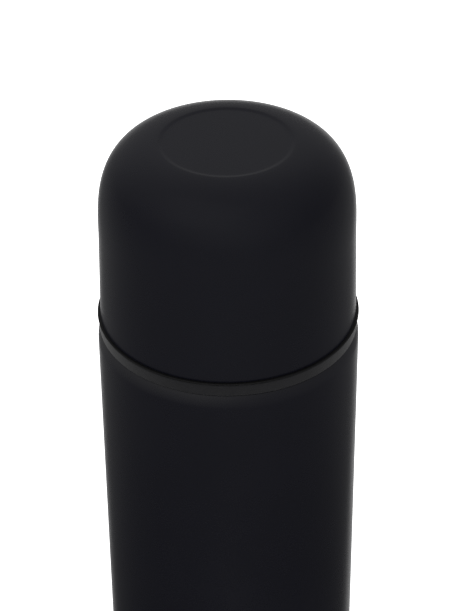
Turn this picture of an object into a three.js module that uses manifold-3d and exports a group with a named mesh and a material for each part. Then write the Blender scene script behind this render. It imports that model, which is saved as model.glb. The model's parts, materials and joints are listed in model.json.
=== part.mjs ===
// Half-litre vacuum flask: a double-walled steel body, a plastic collar round its mouth, a screw-in
// stopper with a push-button pouring valve, and a screw-on domed cup. Millimetres, +Z up.
// The origin is on the flask's axis, in the plane that the base stands on.

import * as THREE from "three";
import { mergeVertices } from "three/addons/utils/BufferGeometryUtils.js";
import Module from "manifold-3d";

const wasm = await Module();
wasm.setup();

// Driving dimensions
const BODY_RADIUS = 35;
const BODY_TOP = 189.9; // the ledge of the outer shell, under the collar
const MOUTH_TOP = 206.2; // the steel lip inside the collar
const CUP_MOUTH = 193.7; // the underside of the cup's rim flange
const TOTAL_HEIGHT = 245;
const SHEET = 0.5; // steel wall
const GAP = 0.3; // clearance between neighbouring pieces
const THREAD_STARTS = 2; // ridges side by side in each thread
const THREAD_PITCH = 4; // height between neighbouring ridges, on the cup and on the stopper
const THREAD_LEAD = THREAD_STARTS * THREAD_PITCH; // rise per turn

// Cup
const CUP_BASE_RADIUS = 34.15;
const CUP_SHOULDER_RADIUS = 33.6;
const CUP_SHOULDER_HEIGHT = 25.7; // above the mouth, where the wall turns into the dome
const CUP_CROWN_RADIUS = 11; // radius at which the dome's curve would be level
const CUP_CROWN_RISE = 0.2; // height of that level point above the dish's rim
const CUP_CURVE_POWER = 3.1; // exponent of the dome's superellipse
const DISH_RADIUS = 17.7;
const DISH_EDGE = 1.5;
const DISH_DEPTH = 0.2;
const FLANGE_RADIUS = 34.9;
const FLANGE_THICKNESS = 0.4;
const LINER_WALL = 1.5;
const LINER_INSET = SHEET + GAP;
const LINER_INSIDE = LINER_INSET + LINER_WALL;

// Neck and collar
const NECK_RADIUS = 27.5;
const COLLAR_RADIUS = 34.5;
const COLLAR_BAND_TOP = CUP_MOUTH - GAP;
const COLLAR_CORE_RADIUS = 30;
const COLLAR_CREST_RADIUS = 31.2;
const COLLAR_TOP = 205.4;
const SEAL_INSIDE = 30.5; // the flat ring under the collar
const SEAL_OUTSIDE = 32.9;
const SEAL_THICKNESS = 0.6;
const CUP_CREST_RADIUS = 30.4;
const CUP_THREAD_START = 195.5; // height of the collar's ridges at their lower ends

// Inner vessel
const VESSEL_RADIUS = 31.5;
const VESSEL_FLOOR = 9.5;
const VESSEL_SHOULDER = 176;
const THROAT_RADIUS = 20.5;
const THROAT_TOP = 187;
const BORE_RADIUS = 25; // outside of the neck that the stopper screws into
const BORE_CREST_RADIUS = 23.4;

// Stopper
const STOPPER_RADIUS = 23;
const STOPPER_CREST_RADIUS = 24.1;
const STOPPER_THREAD_START = 193; // height of the stopper's ridges at their lower ends
const STOPPER_BOTTOM = 188.9;
const STOPPER_WALL = 3;
const STOPPER_FLOOR_TOP = 191;
const STOPPER_TOP = 213.7;
const GRIP_RADIUS = 27.2;
const GRIP_RIBS = 16;
const SPIGOT_RADIUS = 19.6;
const SPIGOT_BOTTOM = 186.2;
const CHANNEL_RADIUS = 9;
const CHANNEL_TOP = 203;
const CHANNEL_WALL = 1.5;
const DECK_BOTTOM = 211.3;
const DECK_TOP = 213.5;
const DECK_BORE = 12;

// Button and valve
const BUTTON_RADIUS = 11.5;
const BUTTON_TOP = 218;
const BUTTON_CEILING = 215;
const BUTTON_BOTTOM = 209.8;
const STEM_RADIUS = 2;
const STEM_BOTTOM = 187.4;
const VALVE_RADIUS = 11.5;

// Fineness of the solids
const WIDE_SIDES = 40;
const MIDDLE_SIDES = 24;
const SMALL_SIDES = 12;
const ARC_STEPS = 1; // half of the segments in each rounded corner
const DOME_STEPS = 5;

const QUARTER = Math.PI / 2;
const TURN = Math.PI * 2;

const finishes = {
  blackPaint: new THREE.MeshStandardMaterial({ color: 0x242534, roughness: 0.35, metalness: 0 }),
  steel: new THREE.MeshStandardMaterial({ color: 0xb9b9b6, roughness: 0.35, metalness: 1 }),
  foil: new THREE.MeshStandardMaterial({ color: 0xc8c8cc, roughness: 0.25, metalness: 1 }),
  greyPlastic: new THREE.MeshStandardMaterial({ color: 0x3c3c3e, roughness: 0.7, metalness: 0 }),
  blackPlastic: new THREE.MeshStandardMaterial({ color: 0x0e0e0f, roughness: 0.45, metalness: 0 }),
  silicone: new THREE.MeshStandardMaterial({ color: 0xc9c9c4, roughness: 0.55, metalness: 0 }),
  rubber: new THREE.MeshStandardMaterial({ color: 0x161616, roughness: 0.85, metalness: 0 }),
  foam: new THREE.MeshStandardMaterial({ color: 0xe6e4dc, roughness: 0.95, metalness: 0 }),
};

// Outlines and solids

// A closed outline through [radius, height] corners.
function ring(...corners) {
  const points = corners.map(([radius, height]) => new THREE.Vector2(radius, height));
  return [...points, points[0].clone()];
}

// A body of revolution about Z. The outline closes on itself or starts and ends on the axis.
function turned(outline, sides) {
  const points = THREE.ShapeUtils.isClockWise(outline) ? [...outline].reverse() : outline;
  return new THREE.LatheGeometry(points, sides).rotateX(QUARTER);
}

// The outer face of the cup moved inwards by an inset, from its lower edge to the centre of the dish.
function cupOutline(inset, lowerEdge) {
  const shoulderZ = CUP_MOUTH + CUP_SHOULDER_HEIGHT;
  const shoulderRadius = CUP_SHOULDER_RADIUS - inset;
  const crownZ = TOTAL_HEIGHT + CUP_CROWN_RISE - inset;
  const span = shoulderRadius - CUP_CROWN_RADIUS;
  const dishShare = (DISH_RADIUS - CUP_CROWN_RADIUS) / span;
  const lastAngle = Math.acos(dishShare ** (CUP_CURVE_POWER / 2));
  const points = [new THREE.Vector2(CUP_BASE_RADIUS - inset, lowerEdge)];
  for (let i = 0; i <= DOME_STEPS; i++) {
    const angle = (lastAngle * i) / DOME_STEPS;
    const across = Math.cos(angle) ** (2 / CUP_CURVE_POWER);
    const up = Math.sin(angle) ** (2 / CUP_CURVE_POWER);
    const z = shoulderZ + (crownZ - shoulderZ) * up;
    points.push(new THREE.Vector2(CUP_CROWN_RADIUS + span * across, z));
  }
  const dishZ = points.at(-1).y - DISH_DEPTH;
  points.push(new THREE.Vector2(DISH_RADIUS - DISH_EDGE, dishZ), new THREE.Vector2(0, dishZ));
  return points;
}

// A helical ridge of four-cornered section, buried a little in its wall, fading out at both ends.
function helicalRidge({ wallRadius, crestRadius, startZ, turns }, startAngle) {
  const inward = crestRadius < wallRadius;
  const buriedRadius = wallRadius + (inward ? GAP : -GAP);
  const baseHalf = 1.1;
  const crestHalf = 0.5;
  const fadeTurns = 0.12;
  const leastFade = 0.1;
  const steps = Math.round(turns * WIDE_SIDES);
  const positions = [];
  for (let i = 0; i <= steps; i++) {
    const turn = (turns * i) / steps;
    const fromEnd = Math.min(turn, turns - turn);
    const fade = Math.min(1, leastFade + fromEnd / fadeTurns);
    const crest = THREE.MathUtils.lerp(buriedRadius, crestRadius, fade);
    const z = startZ + turn * THREAD_LEAD;
    const section = [
      [buriedRadius, z - baseHalf],
      [crest, z - crestHalf],
      [crest, z + crestHalf],
      [buriedRadius, z + baseHalf],
    ];
    const angle = startAngle + turn * TURN;
    for (const [radius, height] of section) {
      positions.push(radius * Math.cos(angle), radius * Math.sin(angle), height);
    }
  }
  const corners = 4;
  const index = [];
  const face = (a, b, c) => index.push(...(inward ? [a, c, b] : [a, b, c]));
  for (let i = 0; i < steps; i++) {
    for (let k = 0; k < corners; k++) {
      const a = i * corners + k;
      const b = i * corners + ((k + 1) % corners);
      face(a, a + corners, b);
      face(b, a + corners, b + corners);
    }
  }
  const last = steps * corners;
  face(0, 1, 2);
  face(0, 2, 3);
  face(last, last + 2, last + 1);
  face(last, last + 3, last + 2);
  const geometry = new THREE.BufferGeometry();
  geometry.setAttribute("position", new THREE.Float32BufferAttribute(positions, 3));
  geometry.setIndex(index);
  return geometry;
}

// The equal ridges of a right-hand thread, spread evenly round the axis.
function threadRidges(thread) {
  const starts = Array.from({ length: THREAD_STARTS }, (_, i) => (TURN * i) / THREAD_STARTS);
  return starts.map((startAngle) => helicalRidge(thread, startAngle));
}

// A solid for joining and cutting. Triangles that collapse on the axis are left out.
function solidOf(geometry) {
  const bare = geometry.clone();
  bare.deleteAttribute("normal");
  bare.deleteAttribute("uv");
  const merged = mergeVertices(bare, 1e-4);
  const triVerts = [];
  for (let i = 0; i < merged.index.count; i += 3) {
    const [a, b, c] = [0, 1, 2].map((k) => merged.index.getX(i + k));
    if (a !== b && b !== c && c !== a) {
      triVerts.push(a, b, c);
    }
  }
  const mesh = new wasm.Mesh({
    numProp: 3,
    vertProperties: new Float32Array(merged.attributes.position.array),
    triVerts: new Uint32Array(triVerts),
  });
  return new wasm.Manifold(mesh);
}

function geometryOf(solid) {
  const mesh = solid.getMesh();
  const geometry = new THREE.BufferGeometry();
  geometry.setAttribute("position", new THREE.BufferAttribute(mesh.vertProperties, 3));
  geometry.setIndex(new THREE.BufferAttribute(mesh.triVerts, 1));
  return geometry;
}

function joined(geometry, ...others) {
  return geometryOf(others.reduce((solid, other) => solid.add(solidOf(other)), solidOf(geometry)));
}

function cut(geometry, ...tools) {
  return geometryOf(tools.reduce((solid, tool) => solid.subtract(solidOf(tool)), solidOf(geometry)));
}

const flask = new THREE.Group();

function addPiece(name, geometry, material, parent = flask) {
  const piece = new THREE.Mesh(geometry, material);
  piece.name = name;
  parent.add(piece);
  return piece;
}

// Flask body

// The painted outer wall: rounded foot, straight side, soft shoulder, level ledge and raised neck.
function outerShell() {
  const footRadius = 3;
  const footBottom = 1;
  const shoulderReach = 0.8; // how far the wall draws in below the ledge
  const shoulderDrop = 4;
  const shoulderRadius = (shoulderDrop ** 2 + shoulderReach ** 2) / (2 * shoulderReach);
  const shoulderCentre = [BODY_RADIUS - shoulderRadius, BODY_TOP - shoulderDrop];
  const neckFillet = 1;
  const neckTop = MOUTH_TOP - SHEET - GAP;
  const path = new THREE.Path();
  path.moveTo(BODY_RADIUS - footRadius - SHEET, footBottom);
  path.lineTo(BODY_RADIUS - footRadius, footBottom);
  path.absarc(BODY_RADIUS - footRadius, footBottom + footRadius, footRadius, -QUARTER, 0);
  path.absarc(...shoulderCentre, shoulderRadius, 0, Math.asin(shoulderDrop / shoulderRadius));
  path.absarc(NECK_RADIUS + neckFillet, BODY_TOP + neckFillet, neckFillet, -QUARTER, -2 * QUARTER, true);
  path.lineTo(NECK_RADIUS, neckTop);
  path.lineTo(NECK_RADIUS - SHEET, neckTop);
  const innerFillet = neckFillet + SHEET;
  const innerFoot = footRadius - SHEET;
  path.absarc(NECK_RADIUS + neckFillet, BODY_TOP + neckFillet, innerFillet, -2 * QUARTER, -QUARTER);
  const innerShoulder = shoulderRadius - SHEET;
  const innerSweep = Math.asin((shoulderDrop - SHEET) / innerShoulder);
  path.absarc(...shoulderCentre, innerShoulder, innerSweep, 0, true);
  path.absarc(BODY_RADIUS - footRadius, footBottom + footRadius, innerFoot, 0, -QUARTER, true);
  path.lineTo(BODY_RADIUS - footRadius - SHEET, footBottom + SHEET);
  path.closePath();
  return turned(path.getPoints(ARC_STEPS), WIDE_SIDES);
}

// The steel vessel that holds the drink: its bore takes the stopper, and the step below seals it.
function innerVessel() {
  const floorRadius = 8;
  const shoulderRise = THROAT_TOP - SHEET - VESSEL_SHOULDER;
  const shoulderSpan = VESSEL_RADIUS - THROAT_RADIUS;
  const lipRadius = NECK_RADIUS;
  const path = new THREE.Path();
  const floorCentre = VESSEL_FLOOR + floorRadius;
  path.moveTo(0, VESSEL_FLOOR);
  path.lineTo(VESSEL_RADIUS - floorRadius, VESSEL_FLOOR);
  path.absarc(VESSEL_RADIUS - floorRadius, floorCentre, floorRadius, -QUARTER, 0);
  path.absellipse(THROAT_RADIUS, VESSEL_SHOULDER, shoulderSpan, shoulderRise, 0, QUARTER);
  path.lineTo(BORE_RADIUS, THROAT_TOP - SHEET);
  path.lineTo(BORE_RADIUS, MOUTH_TOP - SHEET);
  path.lineTo(lipRadius, MOUTH_TOP - SHEET);
  path.lineTo(lipRadius, MOUTH_TOP);
  path.lineTo(BORE_RADIUS - SHEET, MOUTH_TOP);
  path.lineTo(BORE_RADIUS - SHEET, THROAT_TOP);
  path.lineTo(THROAT_RADIUS - SHEET, THROAT_TOP);
  path.lineTo(THROAT_RADIUS - SHEET, THROAT_TOP - 2 * SHEET);
  path.absellipse(
    THROAT_RADIUS - SHEET,
    VESSEL_SHOULDER,
    shoulderSpan,
    shoulderRise - SHEET,
    QUARTER,
    0,
    true,
  );
  path.absarc(VESSEL_RADIUS - floorRadius, floorCentre, floorRadius - SHEET, 0, -QUARTER, true);
  path.lineTo(0, VESSEL_FLOOR + SHEET);
  const wall = turned(path.getPoints(ARC_STEPS), WIDE_SIDES);
  const thread = threadRidges({
    wallRadius: BORE_RADIUS - SHEET,
    crestRadius: BORE_CREST_RADIUS,
    startZ: STOPPER_THREAD_START + THREAD_PITCH / 2,
    turns: 0.7,
  });
  return joined(wall, ...thread);
}

// A dished steel disc closes the shell from below, with a small hole where the air was drawn out.
function basePlate() {
  const outside = 31.2;
  const holeRadius = 1.3;
  const underside = 3;
  const skirtBottom = 1;
  const outline = ring(
    [holeRadius, underside],
    [outside - SHEET, underside],
    [outside - SHEET, skirtBottom],
    [outside, skirtBottom],
    [outside, underside + SHEET],
    [holeRadius, underside + SHEET],
  );
  return turned(outline, MIDDLE_SIDES);
}

function vacuumSealPlug() {
  const headBottom = 1.8;
  const headTop = 2.7;
  const headRadius = 4;
  const headEdge = 0.6;
  const shankRadius = 0.9;
  const shankTop = 3.6;
  const outline = [
    new THREE.Vector2(0, headBottom),
    new THREE.Vector2(headRadius - headEdge, headBottom),
    new THREE.Vector2(headRadius, headTop),
    new THREE.Vector2(shankRadius, headTop),
    new THREE.Vector2(shankRadius, shankTop),
    new THREE.Vector2(0, shankTop),
  ];
  return turned(outline, SMALL_SIDES);
}

// The rubber foot, recessed on top to clear the seal plug.
function basePad() {
  const outside = 30.3;
  const chamfer = 0.6;
  const top = 2.6;
  const recessRadius = 5;
  const recessFloor = 1.4;
  const outline = [
    new THREE.Vector2(0, 0),
    new THREE.Vector2(outside - chamfer, 0),
    new THREE.Vector2(outside, chamfer),
    new THREE.Vector2(outside, top),
    new THREE.Vector2(recessRadius, top),
    new THREE.Vector2(recessRadius, recessFloor),
    new THREE.Vector2(0, recessFloor),
  ];
  return turned(outline, MIDDLE_SIDES);
}

// A thin sleeve of metal foil wrapped round the vessel, inside the vacuum.
function radiationFoil() {
  const inside = VESSEL_RADIUS + GAP;
  const outside = inside + GAP;
  const bottom = 20;
  const top = 172;
  const outline = ring([inside, bottom], [outside, bottom], [outside, top], [inside, top]);
  return turned(outline, WIDE_SIDES);
}

// The getter: a pill of reactive metal under the vessel, which keeps the vacuum clean.
function getterCapsule() {
  const radius = 4;
  const height = 3;
  const offset = 13; // from the flask's axis
  const middleZ = 7.7;
  const pill = new THREE.CylinderGeometry(radius, radius, height, SMALL_SIDES);
  return pill.rotateX(QUARTER).translate(offset, 0, middleZ);
}

// The visible band, the seat on the ledge and the threaded neck that the cup screws onto.
function neckCollar() {
  const bottom = BODY_TOP + GAP;
  const bore = NECK_RADIUS + GAP;
  const entry = 1.4; // clears the fillet at the foot of the steel neck
  const grooveInside = SEAL_INSIDE - GAP;
  const grooveOutside = SEAL_OUTSIDE + GAP;
  const grooveTop = bottom + SEAL_THICKNESS + GAP;
  const edge = 0.3;
  const outline = ring(
    [bore + entry, bottom],
    [grooveInside, bottom],
    [grooveInside, grooveTop],
    [grooveOutside, grooveTop],
    [grooveOutside, bottom],
    [COLLAR_RADIUS - edge, bottom],
    [COLLAR_RADIUS, bottom + edge],
    [COLLAR_RADIUS, COLLAR_BAND_TOP - edge],
    [COLLAR_RADIUS - edge, COLLAR_BAND_TOP],
    [COLLAR_CORE_RADIUS, COLLAR_BAND_TOP],
    [COLLAR_CORE_RADIUS, COLLAR_TOP - edge],
    [COLLAR_CORE_RADIUS - edge, COLLAR_TOP],
    [bore, COLLAR_TOP],
    [bore, bottom + entry],
  );
  const thread = threadRidges({
    wallRadius: COLLAR_CORE_RADIUS,
    crestRadius: COLLAR_CREST_RADIUS,
    startZ: CUP_THREAD_START,
    turns: 0.8,
  });
  return joined(turned(outline, WIDE_SIDES), ...thread);
}

function collarSeal() {
  const bottom = BODY_TOP + GAP;
  const top = bottom + SEAL_THICKNESS;
  const corners = [[SEAL_INSIDE, bottom], [SEAL_OUTSIDE, bottom], [SEAL_OUTSIDE, top], [SEAL_INSIDE, top]];
  return turned(ring(...corners), MIDDLE_SIDES);
}

// Stopper

// The plug's plastic body: threaded wall, floor with the valve seat, pouring channel and ribbed grip.
function stopperBody() {
  const wallInside = STOPPER_RADIUS - STOPPER_WALL;
  const spigotInside = 17;
  const gripBottom = MOUTH_TOP + GAP;
  const gripEdge = 0.5;
  const deckRecess = 24.6;
  const deckLedge = 211;
  const outline = ring(
    [CHANNEL_RADIUS, STOPPER_BOTTOM],
    [spigotInside, STOPPER_BOTTOM],
    [spigotInside, SPIGOT_BOTTOM],
    [SPIGOT_RADIUS, SPIGOT_BOTTOM],
    [SPIGOT_RADIUS, STOPPER_BOTTOM],
    [STOPPER_RADIUS, STOPPER_BOTTOM],
    [STOPPER_RADIUS, gripBottom],
    [GRIP_RADIUS, gripBottom],
    [GRIP_RADIUS, STOPPER_TOP - gripEdge],
    [GRIP_RADIUS - gripEdge, STOPPER_TOP],
    [deckRecess, STOPPER_TOP],
    [deckRecess, deckLedge],
    [wallInside, deckLedge],
    [wallInside, STOPPER_FLOOR_TOP],
    [CHANNEL_RADIUS + CHANNEL_WALL, STOPPER_FLOOR_TOP],
    [CHANNEL_RADIUS + CHANNEL_WALL, CHANNEL_TOP],
    [CHANNEL_RADIUS, CHANNEL_TOP],
  );
  const thread = threadRidges({
    wallRadius: STOPPER_RADIUS,
    crestRadius: STOPPER_CREST_RADIUS,
    startZ: STOPPER_THREAD_START,
    turns: 0.7,
  });
  const ribRadius = 0.8;
  const ribSides = 6;
  const ribMargin = 0.6; // below a rib, and twice this above it
  const ribBottom = gripBottom + ribMargin;
  const ribTop = STOPPER_TOP - 2 * ribMargin;
  const ribs = [];
  for (let i = 0; i < GRIP_RIBS; i++) {
    const rib = new THREE.CylinderGeometry(ribRadius, ribRadius, ribTop - ribBottom, ribSides);
    rib.rotateX(QUARTER).translate(GRIP_RADIUS, 0, (ribBottom + ribTop) / 2);
    ribs.push(rib.rotateZ((TURN * (i + 0.5)) / GRIP_RIBS));
  }
  return joined(turned(outline, WIDE_SIDES), ...thread, ...ribs);
}

function stopperGasket() {
  const inside = SPIGOT_RADIUS + GAP;
  const setback = 0.1;
  const outside = STOPPER_RADIUS - setback;
  const bottom = THROAT_TOP + GAP;
  const top = STOPPER_BOTTOM - GAP;
  const bulge = 0.4;
  const outline = ring(
    [inside, bottom],
    [outside - bulge, bottom],
    [outside, (bottom + top) / 2],
    [outside - bulge, top],
    [inside, top],
  );
  return turned(outline, MIDDLE_SIDES);
}

function insulationRing() {
  const inside = CHANNEL_RADIUS + CHANNEL_WALL + GAP;
  const outside = STOPPER_RADIUS - STOPPER_WALL - GAP;
  const bottom = STOPPER_FLOOR_TOP + GAP;
  const outline = ring([inside, bottom], [outside, bottom], [outside, CHANNEL_TOP], [inside, CHANNEL_TOP]);
  return turned(outline, MIDDLE_SIDES);
}

// The floor of the pouring chamber, which closes the foam's pocket.
function insulationCover() {
  const outside = STOPPER_RADIUS - STOPPER_WALL - GAP;
  const thickness = 1.2;
  const bottom = CHANNEL_TOP + GAP;
  const top = bottom + thickness;
  const outline = ring([CHANNEL_RADIUS, bottom], [outside, bottom], [outside, top], [CHANNEL_RADIUS, top]);
  return turned(outline, MIDDLE_SIDES);
}

// The round top plate, with a raised collar for the button and two curved pouring slots.
function stopperDeck() {
  const outside = 24.3;
  const collarRadius = 13.6;
  const collarTop = 215;
  const plate = turned(
    ring(
      [DECK_BORE, DECK_BOTTOM],
      [outside, DECK_BOTTOM],
      [outside, DECK_TOP],
      [collarRadius, DECK_TOP],
      [collarRadius, collarTop],
      [DECK_BORE, collarTop],
    ),
    MIDDLE_SIDES,
  );
  const slotInside = 15.2;
  const slotOutside = 19;
  const slotHalfAngle = THREE.MathUtils.degToRad(32);
  const slotSteps = 4;
  const overrun = 1; // the cutter passes the plate by this much on both sides
  const slots = [0, Math.PI].map((middle) => {
    const shape = new THREE.Shape();
    shape.absarc(0, 0, slotOutside, middle - slotHalfAngle, middle + slotHalfAngle);
    shape.absarc(0, 0, slotInside, middle + slotHalfAngle, middle - slotHalfAngle, true);
    shape.closePath();
    const depth = DECK_TOP - DECK_BOTTOM + 2 * overrun;
    const options = { depth, bevelEnabled: false, curveSegments: slotSteps };
    return new THREE.ExtrudeGeometry(shape, options).translate(0, 0, DECK_BOTTOM - overrun);
  });
  return cut(plate, ...slots);
}

// A hub on three spokes inside the channel: it guides the stem and carries the spring.
function stemGuide() {
  const bottom = 199.5;
  const top = 202.5;
  const rimWidth = 1;
  const rimOutside = CHANNEL_RADIUS - GAP;
  const rimInside = rimOutside - rimWidth;
  const stemSlack = 0.4;
  const hubInside = STEM_RADIUS + stemSlack;
  const hubOutside = 5.2;
  const spokeCount = 3;
  const spokeWidth = 1.4;
  const spokeInset = 0.3; // below the hub's ends
  const hub = turned(
    ring([hubInside, bottom], [hubOutside, bottom], [hubOutside, top], [hubInside, top]),
    SMALL_SIDES,
  );
  const rim = turned(
    ring([rimInside, bottom], [rimOutside, bottom], [rimOutside, top], [rimInside, top]),
    SMALL_SIDES,
  );
  const spokes = Array.from({ length: spokeCount }, (_, i) => {
    const length = rimInside - hubOutside + rimWidth;
    const spoke = new THREE.BoxGeometry(length, spokeWidth, top - bottom - 2 * spokeInset);
    spoke.translate((rimInside + hubOutside) / 2, 0, (top + bottom) / 2);
    return spoke.rotateZ((TURN * i) / spokeCount);
  });
  return joined(hub, rim, ...spokes);
}

// The compression spring that lifts the button: a wire swept along a helix.
function buttonSpring() {
  const meanRadius = 4.4;
  const wireRadius = 0.4;
  const coils = 4;
  const bottom = 203.2;
  const top = BUTTON_CEILING - GAP - wireRadius;
  const points = [];
  const stepsPerCoil = 10;
  for (let i = 0; i <= coils * stepsPerCoil; i++) {
    const share = i / (coils * stepsPerCoil);
    const angle = share * coils * TURN;
    const z = THREE.MathUtils.lerp(bottom, top, share);
    points.push(new THREE.Vector3(meanRadius * Math.cos(angle), meanRadius * Math.sin(angle), z));
  }
  const wire = new THREE.Shape();
  wire.absarc(0, 0, wireRadius, 0, TURN);
  return new THREE.ExtrudeGeometry(wire, {
    steps: coils * stepsPerCoil,
    extrudePath: new THREE.CatmullRomCurve3(points),
    curveSegments: 3,
  });
}

// Button and valve

// A hollow button with a retaining flange at its foot, a groove for its seal and a socket for the stem.
function pushButton() {
  const crownEdge = 1.2;
  const crownRim = 2.6; // width of the rim round the thumb dish
  const crownDip = 0.5;
  const flangeRadius = 13.2;
  const flangeTop = 211;
  const grooveRadius = 10.4;
  const grooveBottom = 211.8;
  const grooveTop = 213.4;
  const wallInside = 9.4;
  const socketOutside = 3.3;
  const socketInside = STEM_RADIUS + GAP;
  const socketBottom = 210.5;
  const outline = [
    [0, BUTTON_TOP - crownDip],
    [BUTTON_RADIUS - crownRim, BUTTON_TOP],
    [BUTTON_RADIUS - crownEdge, BUTTON_TOP],
    [BUTTON_RADIUS, BUTTON_TOP - crownEdge],
    [BUTTON_RADIUS, grooveTop],
    [grooveRadius, grooveTop],
    [grooveRadius, grooveBottom],
    [BUTTON_RADIUS, grooveBottom],
    [BUTTON_RADIUS, flangeTop],
    [flangeRadius, flangeTop],
    [flangeRadius, BUTTON_BOTTOM],
    [wallInside, BUTTON_BOTTOM],
    [wallInside, BUTTON_CEILING],
    [socketOutside, BUTTON_CEILING],
    [socketOutside, socketBottom],
    [socketInside, socketBottom],
    [socketInside, BUTTON_CEILING],
    [0, BUTTON_CEILING],
  ];
  return turned(outline.map(([radius, z]) => new THREE.Vector2(radius, z)), MIDDLE_SIDES);
}

function buttonSeal() {
  const inside = 10.7;
  const outside = 11.7;
  const bottom = 212.1;
  const top = 213.1;
  const bulge = 0.25;
  const outline = ring(
    [inside, bottom],
    [outside - bulge, bottom],
    [outside, bottom + bulge],
    [outside, top - bulge],
    [outside - bulge, top],
    [inside, top],
  );
  return turned(outline, MIDDLE_SIDES);
}

function valveStem() {
  const top = BUTTON_CEILING - GAP;
  const screwHole = 1.5;
  const holeTop = 195.5;
  const outline = [
    new THREE.Vector2(0, holeTop),
    new THREE.Vector2(screwHole, holeTop),
    new THREE.Vector2(screwHole, STEM_BOTTOM),
    new THREE.Vector2(STEM_RADIUS, STEM_BOTTOM),
    new THREE.Vector2(STEM_RADIUS, top),
    new THREE.Vector2(0, top),
  ];
  return turned(outline, SMALL_SIDES);
}

function valveDisc() {
  const bottom = 185.9;
  const top = STEM_BOTTOM - GAP;
  const hole = 1.8;
  const taper = 0.6;
  const outline = ring([hole, bottom], [VALVE_RADIUS - taper, bottom], [VALVE_RADIUS, top], [hole, top]);
  return turned(outline, MIDDLE_SIDES);
}

function valveSeal() {
  const bottom = STEM_BOTTOM;
  const top = STOPPER_BOTTOM - GAP;
  const inside = 7.5;
  const lip = 10.2;
  const outline = ring([inside, bottom], [VALVE_RADIUS, bottom], [lip, top], [inside, top]);
  return turned(outline, MIDDLE_SIDES);
}

// The pan-head screw that holds the valve disc to the stem.
function valveScrew() {
  const headRadius = 3;
  const headBottom = 184.3;
  const headTop = 185.6;
  const headEdge = 0.6;
  const shankRadius = 1.2;
  const shankTop = 194.5;
  const outline = [
    new THREE.Vector2(0, headBottom),
    new THREE.Vector2(headRadius - headEdge, headBottom),
    new THREE.Vector2(headRadius, headBottom + headEdge),
    new THREE.Vector2(headRadius, headTop),
    new THREE.Vector2(shankRadius, headTop),
    new THREE.Vector2(shankRadius, shankTop),
    new THREE.Vector2(0, shankTop),
  ];
  return turned(outline, SMALL_SIDES);
}

// Cup

// The painted steel shell: tapered wall, domed top and a shallow round dish.
function cupShell() {
  const lowerEdge = CUP_MOUTH + FLANGE_THICKNESS + GAP;
  const outside = cupOutline(0, lowerEdge);
  const inside = cupOutline(SHEET, lowerEdge);
  return turned([...inside.reverse(), ...outside], WIDE_SIDES);
}

// The plastic liner: its flange is the cup's lip, and its wall carries the thread.
function cupLiner() {
  const outside = cupOutline(LINER_INSET, CUP_MOUTH + FLANGE_THICKNESS);
  const inside = cupOutline(LINER_INSIDE, CUP_MOUTH);
  const flange = [
    new THREE.Vector2(FLANGE_RADIUS, CUP_MOUTH),
    new THREE.Vector2(FLANGE_RADIUS, CUP_MOUTH + FLANGE_THICKNESS),
  ];
  const wall = turned([...inside.reverse(), ...flange, ...outside], WIDE_SIDES);
  const thread = threadRidges({
    wallRadius: CUP_BASE_RADIUS - LINER_INSIDE,
    crestRadius: CUP_CREST_RADIUS,
    startZ: CUP_THREAD_START + THREAD_PITCH / 2,
    turns: 0.65,
  });
  return joined(wall, ...thread);
}

addPiece("outer_shell", outerShell(), finishes.blackPaint);
addPiece("inner_vessel", innerVessel(), finishes.steel);
addPiece("base_plate", basePlate(), finishes.steel);
addPiece("vacuum_seal_plug", vacuumSealPlug(), finishes.steel);
addPiece("base_pad", basePad(), finishes.rubber);
addPiece("radiation_foil", radiationFoil(), finishes.foil);
addPiece("getter_capsule", getterCapsule(), finishes.steel);
addPiece("neck_collar", neckCollar(), finishes.greyPlastic);
addPiece("collar_seal", collarSeal(), finishes.rubber);

const stopper = new THREE.Group();
flask.add(stopper);
addPiece("stopper_body", stopperBody(), finishes.blackPlastic, stopper);
addPiece("stopper_gasket", stopperGasket(), finishes.silicone, stopper);
addPiece("insulation_ring", insulationRing(), finishes.foam, stopper);
addPiece("insulation_cover", insulationCover(), finishes.blackPlastic, stopper);
addPiece("stopper_deck", stopperDeck(), finishes.blackPlastic, stopper);
addPiece("stem_guide", stemGuide(), finishes.blackPlastic, stopper);
addPiece("button_spring", buttonSpring(), finishes.steel, stopper);

const button = new THREE.Group();
stopper.add(button);
addPiece("push_button", pushButton(), finishes.greyPlastic, button);
addPiece("button_seal", buttonSeal(), finishes.silicone, button);
addPiece("valve_stem", valveStem(), finishes.blackPlastic, button);
addPiece("valve_disc", valveDisc(), finishes.blackPlastic, button);
addPiece("valve_seal", valveSeal(), finishes.silicone, button);
addPiece("valve_screw", valveScrew(), finishes.steel, button);

const cup = new THREE.Group();
flask.add(cup);
addPiece("cup_shell", cupShell(), finishes.blackPaint, cup);
addPiece("cup_liner", cupLiner(), finishes.blackPlastic, cup);

export default flask;
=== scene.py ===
"""A matte black half-litre vacuum flask with a screw-on domed cup over a push-button stopper.

Sizes are in millimetres until a mesh is made. Each piece stands for one CAD node and rides on its body.
"""
import json
import math

import bmesh
import bpy
from mathutils import Matrix, Vector, noise


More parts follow.
